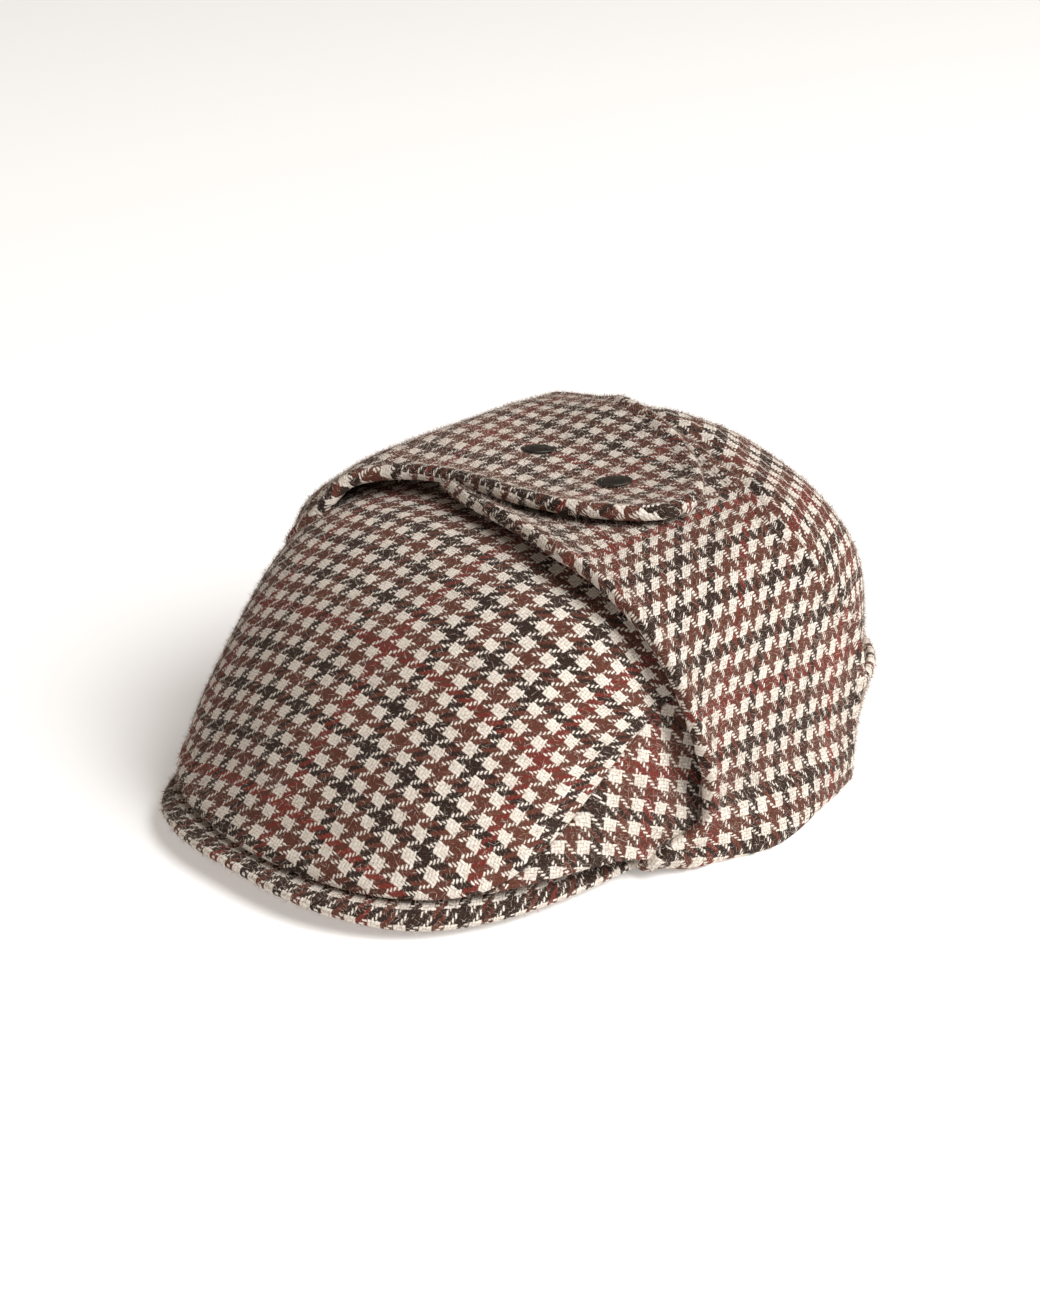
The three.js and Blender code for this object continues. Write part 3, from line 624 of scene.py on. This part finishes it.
def flapEdges(arch, side):
    rows = flap["left" if side > 0 else "right"]
    front, rear = readTable(rows, "arch", "front", arch), readTable(rows, "arch", "rear", arch)
    end = np.clip((flap["roundFrom"] - arch) / (flap["roundFrom"] - flap["tip"]), 0, 0.9995)
    width = np.sqrt(1 - end ** 2)
    middle, half = (front + rear) / 2, (rear - front) / 2 * width
    return middle - half - flap["hook"] * smooth(94, 100, arch) ** 1.5, middle + half

def flapStand(point, arch, latitude, across, side):
    swell = readTable(flap, "height", "swell", point[..., 2]) * smooth(30, 60, arch)
    stand = flap["gap"] + flap["cloth"] / 2 + swell + lowShare("flare", point, point[..., 2])
    # the foot's front end goes in under the side
    stand = stand - flap["tuckEnd"] * smooth(-17, -27, latitude) * smooth(90, 97, arch)
    if side < 0:  # the tongue lies over the near flap
        drop = 0.8 * smooth(flap["dropFrom"], flap["dropFrom"] + 8, latitude) * smooth(12, 26, arch)
        lap = smooth(flap["lapFrom"], flap["lapTo"], arch) * (1 - drop)
        stand = stand + lap * (flap["cloth"] + flap["lapGap"] + flap["lapTilt"] * (1 - across))
        a, b, halfA, halfB, rise = flap["puff"]
        stand = stand + rise * lump(arch, a, halfA) * lump(latitude, b, halfB)
    return stand

def flapSpot(arch, across, side):
    front, rear = flapEdges(arch, side)
    latitude = front + (rear - front) * across
    point, normal = crownPoint(archWay(side * arch, latitude))
    return point, normal, flapStand(point, arch, latitude, across, side), latitude

def footMiddle(base, outward, stand, turn):  # the cloth's middle round the turned foot
    if turn is None:
        spot = base + outward * flap["footInner"]
        spot[..., 2] = flap["cloth"] / 2
        return spot
    radius = flap["footRadius"]
    height = flap["cloth"] / 2 + radius - radius * math.cos(turn)
    reach = stand - radius + lowShare("flare", base, height) - lowShare("flare", base, base[..., 2])
    reach = reach + radius * math.sin(turn)
    spot = base + outward * reach[..., None]
    spot[..., 2] = height
    return spot

def flapMiddle(side, across):
    rows, marks = [], []
    arch = np.full(across.shape, flap["foot"])
    front, rear = flapEdges(arch, side)
    for turn in footTurns:
        level = 0 if turn is None else 1 + 4 * turn / (math.pi / 2)
        ahead = (1 - (level / 6) ** 2) * (flap["footFront"] - front)  # most on the floor
        place = ahead * (1 - across) / (rear - front) + across
        point, normal, stand, latitude = flapSpot(arch, place, side)
        spot = footMiddle(point, unit(normal * (1, 1, 0)), stand, turn)
        spot[..., 2] += flap["footRise"] * smooth(-14, flap["footFront"], latitude) ** 1.5
        rows.append(spot)
        marks.append((arch, place))
    archRows = list(np.linspace(flap["foot"], flap["roundFrom"], 82)[1:])
    archRows += [flap["roundFrom"] + (flap["tip"] - flap["roundFrom"]) * math.sin(p * math.pi / 2)
                 for p in np.linspace(0, 1, 30)[1:]]
    for angle in archRows:
        arch = np.full(across.shape, angle)
        point, normal, stand, _ = flapSpot(arch, across, side)
        rows.append(point + normal * stand[..., None])
        marks.append((arch, across))
    marks = np.array(marks)
    return np.array(rows), marks[:, 0], marks[:, 1]

def flapTable(side):
    archRows = flap["foot"] - flap["tableStep"] * np.arange(flap["tableRows"])
    arch, across = np.meshgrid(archRows, np.linspace(0, 1, flap["tableColumns"]), indexing="ij")
    point, normal, stand, _ = flapSpot(arch, across, side)
    grid = point + normal * (stand + flap["cloth"] / 2)[..., None]
    return layFlat(grid, 0, 12)

hemPaths = {}

def hemLine(outer, away, inset):
    # along one edge at a set inset, round the end and back along the other
    first, second = [], []
    for r in range(hemFirst, len(outer)):
        if away[r].max() <= inset:
            break
        inside = np.nonzero(away[r] >= inset)[0]
        for line, k, step in ((first, inside[0], -1), (second, inside[-1], 1)):
            t = (away[r, k] - inset) / max(away[r, k] - away[r, k + step], 1e-6)
            line.append(outer[r, k] + (outer[r, k + step] - outer[r, k]) * t)
    return np.array(first + second[::-1])

def makeFlap(side, name, node, style):
    middle, arch, place = flapMiddle(side, fineSteps(95, flap["step"]))
    normal = gridNormal(middle) * side
    away = edgeDistance(middle, rimOf(middle))
    toFront = edgeDistance(middle, np.concatenate([middle[hemFirst:, 0], middle[-1]]))
    half, wide = flap["cloth"] / 2, flap["hemWide"]
    standing = smooth(98, 90, arch)
    pad = padHalf(away, half + style["thickHem"] * lump(away, 0, flap["hemBulge"]), flap["hemEdge"])
    roll = flap["hemRoll"] * (1 - smooth(wide - 1.5, wide + 1.5, away)) * smooth(0.2, 2.0, away)
    groove = flap["hemGroove"] * lump(away, wide, 0.75)
    rise = (roll - groove) * standing + softWaves(middle, flap["waves"], 8 + side) * smooth(3, 18, away) * standing
    lift = style["lift"] * lump(toFront, 0, flap["liftWide"]) * smooth(100, 84, arch)
    if side < 0:  # the far hem turns down where the outline meets the crown
        drop, dipWide, dipArch, halfArch = flap["farDip"]
        lift = lift - drop * lump(toFront, 0, dipWide) * lump(arch, dipArch, halfArch)
    outer = middle + normal * (lift + pad + np.maximum(rise, -0.8))[..., None]
    inner = middle + normal * (lift - pad)[..., None]
    hemPaths[name] = hemLine(outer, away, wide) + (0, 0, 0.05)
    flat = fromTable(flapTable(side), (flap["foot"] - arch) / flap["tableStep"], place * (flap["tableColumns"] - 1))
    below = np.linalg.norm(np.diff(middle[:footRows + 1], axis=0), axis=2)[::-1].cumsum(0)[::-1]
    flat[:footRows, :, 1] = flat[footRows, :, 1] - below
    maps = [layWeave(part, style["weave"]) for part in roundTheEdge(flat, middle, away, flap["hemEdge"], half + 0.5)]
    outer, inner, weave, under = (part[:, ::side] for part in (outer, inner, *maps))
    return keep(sewSheet(name, outer, inner, weave, under=under), node)

flapLeft = makeFlap(1, "ear_flap_near", "flap_left", flap["left"])
flapRight = makeFlap(-1, "ear_flap_far", "flap_right", flap["right"])
print("stage 4: ear flaps folded up")

# neck band round the back, with the same turned foot

neckBand = {"gap": 0.35, "blend": 12.0, "footTop": 11.0, "top": 38.0, "length": 300, "step": 2.6, "stepUp": 2.4,
            "height": [0, 15, 30, 38], "swell": [0.8, 0.4, 0.6, 1.4],
            "edge": 1.7, "hemRoll": 0.5, "hemWide": 5.0, "hemGroove": 0.5, "waves": 0.5,
            "weave": {"start": (0, 0), "run": ((0.13, 0.0), (0.0, -0.122)), "rust": (0, 0)}}

def rearAngle(height):  # where the near flap's rear edge stands at a height, round from the front
    rearSpot = lambda arch: flapSpot(arch, np.ones_like(arch), 1)[0]
    low, high = np.full(np.shape(height), 45.0), np.full(np.shape(height), flap["foot"])
    point = rearSpot(closeIn(low, high, lambda arch: rearSpot(arch)[..., 2] > height, 30)[1])
    return np.degrees(np.arctan2(point[..., 0], -point[..., 1]))

def makeNeckBand():
    across = fineSteps(neckBand["length"], neckBand["step"])
    foot, top = neckBand["footTop"], neckBand["top"]
    levels = foot + (top - foot) * fineSteps(top - foot, neckBand["stepUp"], (False, True))[1:]
    rows = []
    for turn, level in [(turn, foot) for turn in footTurns] + [(1, level) for level in levels]:
        height = np.full(across.shape, level)
        first = rearAngle(height) + neckBand["gap"]
        angle = first + (360 - 2 * first) * across
        point, normal = crownPoint(roundWay(angle, tiltAtHeight(angle, height)))
        into = smooth(0, neckBand["blend"], np.minimum(angle - first, 360 - first - angle))
        flapSwell = readTable(flap, "height", "swell", height)
        own = readTable(neckBand, "height", "swell", height)
        stand = flap["gap"] + flap["cloth"] / 2 + flapSwell + (own - flapSwell) * into
        if len(rows) < footRows:
            rows.append(footMiddle(point, unit(normal * (1, 1, 0)), stand, turn))
        else:
            rows.append(point + normal * stand[..., None])
    middle = np.array(rows)
    normal = gridNormal(middle)
    away, toTop = edgeDistance(middle, rimOf(middle)), edgeDistance(middle, middle[-1])
    pad = padHalf(away, flap["cloth"] / 2, neckBand["edge"])
    rise = neckBand["hemRoll"] * lump(toTop, 2.6, 2.0) - neckBand["hemGroove"] * lump(toTop, neckBand["hemWide"], 0.8)
    rise = rise + softWaves(middle, neckBand["waves"], 21) * smooth(3, 14, away)
    outer = middle + normal * (pad + rise * smooth(6, 12, middle[..., 2]))[..., None]
    inner = middle - normal * pad[..., None]
    weave = layWeave(arcStart(middle, footRows, len(across) // 2), neckBand["weave"])
    return keep(sewSheet("neck_fold", outer, inner, weave), "neck_band")

bandPiece = makeNeckBand()

# the peak under the crown's front, with its rolled lip

peak = {"lipHalf": 79.5, "lipDepth": 95.0, "lipMiddle": -50.0, "lipPower": 2.8, "lipLast": 92.0,
        "openHalf": 79.0, "openDepth": 97.0, "openLast": 60.0, "cloth": 3.6, "edge": 2.0, "columns": 150,
        "rows": [0, 0.2, 0.55, 1.0, 1.6, 2.3, 3.2, 4.5, 6, 8, 11, 15, 20, 26, 33, 41],
        "inset": [0, 0.9, 2.2, 4.5, 9, 18, 29, 41], "rise": [0, 0.42, 0.74, 0.92, 1, 1.04, 1.08, 1.1],
        "angle": [0, 25, 45, 65, 80, 92], "lip": [7.8, 6, 3.6, 2.8, 2.8, 2.6], "deck": [8.9, 8.9, 9.1, 8.6, 6.8, 4.2],
        "weave": {"start": (0, 0), "run": ((0.13, 0.0), (0.0, 0.13)), "rust": (3, 3)}}

def makePeak():
    along = np.linspace(-1, 1, peak["columns"])
    lipTurn, openTurn = np.radians(peak["lipLast"] * along), np.radians(peak["openLast"] * along)
    bend = lambda v: np.sign(v) * np.abs(v) ** (2 / peak["lipPower"])
    zero = np.zeros_like(along)
    lipY = peak["lipMiddle"] - peak["lipDepth"] * bend(np.cos(lipTurn))
    lip = np.stack([peak["lipHalf"] * bend(np.sin(lipTurn)), lipY, zero], -1)
    opening = np.stack([peak["openHalf"] * np.sin(openTurn), -peak["openDepth"] * np.cos(openTurn), zero], -1)
    width = np.linalg.norm(lip - opening, axis=1)
    angle = np.abs(peak["lipLast"] * along)
    low, deck = readTable(peak, "angle", "lip", angle), readTable(peak, "angle", "deck", angle)
    scale = np.minimum(1, width / peak["inset"][-1])
    middle = []
    for inset in peak["rows"]:
        spot = lip + (opening - lip) * (inset * scale / width)[:, None]
        spot[:, 2] = low + (deck - low) * np.interp(inset, peak["inset"], peak["rise"])
        middle.append(spot)
    middle = np.array(middle)
    normal = gridNormal(middle)
    normal *= np.sign(normal[..., 2:3] + 1e-9)
    away = edgeDistance(middle, rimOf(middle))
    thick = normal * padHalf(away, peak["cloth"] / 2, peak["edge"])[..., None]
    flat = np.stack([np.broadcast_to(runLength(middle[4]), away.shape), runLength(middle)], -1)
    return keep(sewSheet("peak_lip", middle + thick, middle - thick, layWeave(flat, peak["weave"])), "peak")

peakPiece = makePeak()
print("stage 5: neck fold and peak made")

# press snaps that hold the flap ends

snaps = {"half": 6.3, "rise": 1.5, "post": 2.0, "postFoot": -1.5, "sunk": 0.1, "sides": 64,
         "viewed": (0.727, -0.687, 0),  # toward the camera; the caps lean from it
         "caps": [("press_snap_near", "snap_left", 21.0, 3.0, 0.08),  # x, latitude and lean
                  ("press_snap_far", "snap_right", -18.0, 5.0, 0.24)]}

def snapSeat(x, latitude):
    def place(slope, way):
        arch = np.array(math.degrees(math.atan2(-slope, 1)))
        front, rear = flapEdges(arch, -1)
        point, normal, stand, _ = flapSpot(arch, (way - front) / (rear - front), -1)
        return point + normal * stand[..., None]
    slope = closeIn(-1.0, 1.0, lambda slope: place(slope, latitude)[0] < x, 30)[0]
    along = place(slope + 0.05, latitude) - place(slope - 0.05, latitude)
    across = place(slope, latitude + 4) - place(slope, latitude - 4)
    return place(slope, latitude), unit(np.cross(along, across))

def makeSnap(name, node, x, latitude, lean):
    base, axis = snapSeat(x, latitude)
    if axis[2] < 0:
        axis = -axis
    axis = unit(axis - lean * np.array(snaps["viewed"]))
    half, post, rise, count = snaps["half"], snaps["post"], snaps["rise"], snaps["sides"]
    seat = flap["cloth"] / 2 - snaps["sunk"]
    profile = [(0.01, snaps["postFoot"]), (post, snaps["postFoot"]), (post, seat)]
    profile += [(half - back, seat + up) for back, up in (  # round the rim
        (0.8, 0), (0.25, 0.12), (0, 0.45), (0.08, 0.75), (0.35, 0.95), (0.9, 1.02), (1.3, 0.92), (1.7, 0.98))]
    profile += [(half * part, seat + rise * up) for part, up in ((0.62, 0.78), (0.4, 0.92), (0.2, 0.98))]
    profile.append((0.01, seat + rise))
    side = unit(np.cross(axis, (0, 1, 0)))
    ahead = np.cross(axis, side)
    turn = np.linspace(0, 2 * math.pi, count, endpoint=False)
    points, faces = [], []
    for reach, height in profile:
        points += [base + side * math.cos(a) * reach + ahead * math.sin(a) * reach + axis * height for a in turn]
    last = (len(profile) - 1) * count
    for i in range(0, last, count):
        for j in range(count):
            k = (j + 1) % count
            faces.append([i + j, i + k, i + count + k, i + count + j])
    faces += [list(range(count))[::-1], [last + j for j in range(count)]]
    keep(meshPiece(name, points, faces, None, snapMaterial), node)

for cap in snaps["caps"]:
    makeSnap(*cap)
print("stage 6: press snaps set")

class Graph(Board):  # a geometry tree with named inputs
    def __init__(self, name, inputs):
        self.tree = bpy.data.node_groups.new(name, "GeometryNodeTree")
        face, self.idOf = self.tree.interface, {}
        for title, kind in {"Geometry": "Geometry", **inputs}.items():
            self.idOf[title] = face.new_socket(title, in_out="INPUT", socket_type="NodeSocket" + kind).identifier
        face.new_socket("Geometry", in_out="OUTPUT", socket_type="NodeSocketGeometry")
        source = self.tree.nodes.new("NodeGroupInput")
        self.given = {title: Wire(self, source.outputs[title]) for title in self.idOf}

    def dressed(self, copies, title):  # instances made real, in a given material
        real = self.node("GeometryNodeRealizeInstances", {"Geometry": copies})
        return self.node("GeometryNodeSetMaterial", {"Geometry": real, "Material": self.given[title]})

    def finish(self, shape):
        self.feed(self.tree.nodes.new("NodeGroupOutput").inputs[0], shape)
        return self

    def run(self, name, data, values):  # the tree's result on the data, as a plain mesh piece
        holder = addObject(name + "_base", data)
        change = holder.modifiers.new(name, "NODES")
        change.node_group = self.tree
        for title, value in values.items():
            change[self.idOf[title]] = value
        bpy.context.view_layer.update()
        mesh = bpy.data.meshes.new_from_object(holder.evaluated_get(bpy.context.evaluated_depsgraph_get()))
        bpy.data.objects.remove(holder)
        mesh.name = name
        piece = addObject(name, mesh)
        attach(piece, "root")
        return piece

# hem stitches in the groove of each flap

stitch = {"pitch": 0.0034, "length": 0.0021, "radius": 0.00024, "thread": (0.16, 0.075, 0.05)}

def stitchThread():
    pad = Pad("stitch_thread")
    twist = pad.noise(pad.node("ShaderNodeTexCoord", None, "Object"), 3000.0)
    pad.put(Base_Color=pad.scaled(stitch["thread"], twist * 0.7 + 0.65), Roughness=0.8)
    return pad.material

threadMaterial = stitchThread()

def stitchTree():
    graph = Graph("hem_stitches", {"Pitch": "Float", "Length": "Float", "Radius": "Float", "Thread": "Material"})
    given = graph.given
    spaced = {"Curve": given["Geometry"], "Length": given["Pitch"]}
    points = graph.node("GeometryNodeCurveToPoints", spaced, "Points", mode="LENGTH")
    bead = graph.node("GeometryNodeMeshUVSphere", {"Segments": 6, "Rings": 4, "Radius": 0.5}, "Mesh")
    wide = given["Radius"] * 2
    shape = graph.node("ShaderNodeCombineXYZ", {0: wide, 1: wide, 2: given["Length"]})
    beads = {"Points": points, "Instance": bead, "Rotation": points.part("Rotation"), "Scale": shape}
    return graph.finish(graph.dressed(graph.node("GeometryNodeInstanceOnPoints", beads), "Thread"))

stitchGraph = stitchTree()

def sewHem(name, path):
    line = bpy.data.curves.new(name, "CURVE")
    line.dimensions = "3D"
    spline = line.splines.new("POLY")
    spline.points.add(len(path) - 1)
    spline.points.foreach_set("co", np.concatenate([toFrame(path), np.ones((len(path), 1))], 1).ravel())
    return stitchGraph.run(name, line, {"Pitch": stitch["pitch"], "Length": stitch["length"],
                                        "Radius": stitch["radius"], "Thread": threadMaterial})

hemNear = sewHem("hem_stitches_near", hemPaths["ear_flap_near"])
hemFar = sewHem("hem_stitches_far", hemPaths["ear_flap_far"])

# loose wool hairs on every cloth piece, one mesh for each

wool = {"pale": (0.66, 0.57, 0.49), "brown": (0.17, 0.085, 0.065), "length": 0.0021, "thick": 0.000056, "tilt": 1.3,
        "heart": -0.05, "clear": 0.0034,  # hairs stand on faces turned from a point this high, above this height
        "perSquareMetre": [("crown", crownPiece, 720000), ("side_near", sideLeft, 1250000),
                           ("side_far", sideRight, 1250000), ("flap_near", flapLeft, 1250000),
                           ("flap_far", flapRight, 1250000), ("neck_fold", bandPiece, 1200000),
                           ("peak", peakPiece, 1200000)]}

def woolHair(name, colour):
    pad = Pad(name)
    pad.put(Base_Color=colour, Roughness=0.9, Specular_IOR_Level=0.1)
    return pad.material

paleHair, brownHair = woolHair("wool_pale", wool["pale"]), woolHair("wool_brown", wool["brown"])

def hairTree():
    graph = Graph("wool_hair", {"Per square metre": "Float", "Length": "Float", "Thickness": "Float", "Tilt": "Float",
                                "Seed": "Int", "Pale": "Material", "Brown": "Material"})
    given, tilt = graph.given, graph.given["Tilt"]
    def chance(kind, values, out=0):
        return graph.node("FunctionNodeRandomValue", values, out, data_type=kind)
    spot = graph.node("GeometryNodeInputPosition")
    way = graph.vector("SUBTRACT", spot, (0, shiftY * 0.001, wool["heart"]))
    outside = graph.vector("DOT_PRODUCT", graph.node("GeometryNodeInputNormal"), way).part("Value") > 0.0
    clear = graph.node("ShaderNodeSeparateXYZ", {0: spot}, 2) > wool["clear"]
    spread = {"Mesh": given["Geometry"], "Selection": outside * clear, "Density": given["Per square metre"],
              "Seed": given["Seed"]}
    points = graph.node("GeometryNodeDistributePointsOnFaces", spread, "Points", distribute_method="RANDOM")
    cone = {"Vertices": 3, "Radius Top": 0.0, "Radius Bottom": given["Thickness"], "Depth": given["Length"]}
    hair = graph.node("GeometryNodeMeshCone", cone, fill_type="NGON")
    less = tilt * -1.0
    lowest = graph.node("ShaderNodeCombineXYZ", {0: less, 1: less, 2: 0.0})
    highest = graph.node("ShaderNodeCombineXYZ", {0: tilt, 1: tilt, 2: 6.28})
    sway = chance("FLOAT_VECTOR", {0: lowest, 1: highest, "Seed": 5})
    turned = graph.node("FunctionNodeRotateRotation", {0: points.part("Rotation"), 1: sway}, rotation_space="LOCAL")
    scale = chance("FLOAT", {2: 0.45, 3: 1.35, "Seed": 9}, 1)
    hairs = {"Points": points, "Instance": hair, "Rotation": turned, "Scale": scale}
    placed = graph.node("GeometryNodeInstanceOnPoints", hairs)
    pick = chance("BOOLEAN", {"Probability": 0.5, "Seed": 3}, 3)
    parted = graph.node("GeometryNodeSeparateGeometry", {"Geometry": placed, "Selection": pick}, domain="INSTANCE")
    joined = graph.node("GeometryNodeJoinGeometry")
    for part, shade in ((parted, "Pale"), (parted.part(1), "Brown")):
        graph.feed(joined.socket.node.inputs[0], graph.dressed(part, shade))
    return graph.finish(joined)

hairGraph = hairTree()

for seed, (place, cloth, density) in enumerate(wool["perSquareMetre"], 1):
    hairGraph.run("wool_on_" + place, cloth.data.copy(), {
        "Per square metre": density, "Length": wool["length"], "Thickness": wool["thick"],
        "Tilt": wool["tilt"], "Seed": seed, "Pale": paleHair, "Brown": brownHair})
print("stage 7: loose wool grown")

# pale floor and soft studio light

studio = {"floor": (0.87, 0.865, 0.86), "half": 6, "glow": 0.34, "warm": (1.0, 0.96, 0.92),
          "sky": 0.175, "tint": (1.0, 0.86, 0.74),
          "lamps": [("key", (2.5, 0.6, 2.45), (0, 0, 0.05), 2.6, 178.0),  # place, aim, size, power
                    ("fill", (-0.2, -1.4, 0.45), (0, -0.05, 0.03), 1.2, 0.6)]}

def makeStudio():
    pad, half = Pad("floor"), studio["half"]
    pad.put(Base_Color=studio["floor"], Roughness=0.9, Specular_IOR_Level=0.1,
            Emission_Color=studio["warm"], Emission_Strength=studio["glow"])
    mesh = bpy.data.meshes.new("floor")
    mesh.from_pydata([(-half, -half, 0), (half, -half, 0), (half, half, 0), (-half, half, 0)], [], [(0, 1, 2, 3)])
    mesh.materials.append(pad.material)
    addObject("floor", mesh)
    world = bpy.data.worlds.new("studio")
    world.use_nodes = True
    sky = world.node_tree.nodes["Background"].inputs
    sky["Color"].default_value, sky["Strength"].default_value = (*studio["tint"], 1), studio["sky"]
    bpy.context.scene.world = world
    for name, place, aim, size, power in studio["lamps"]:
        data = bpy.data.lights.new(name, "AREA")
        data.shape, data.size, data.energy = "DISK", size, power
        lamp = addObject(name, data)
        lamp.location = place
        lamp.rotation_euler = (Vector(aim) - Vector(place)).to_track_quat("-Z", "Y").to_euler()
    bpy.context.scene.view_settings.view_transform = "Standard"

makeStudio()
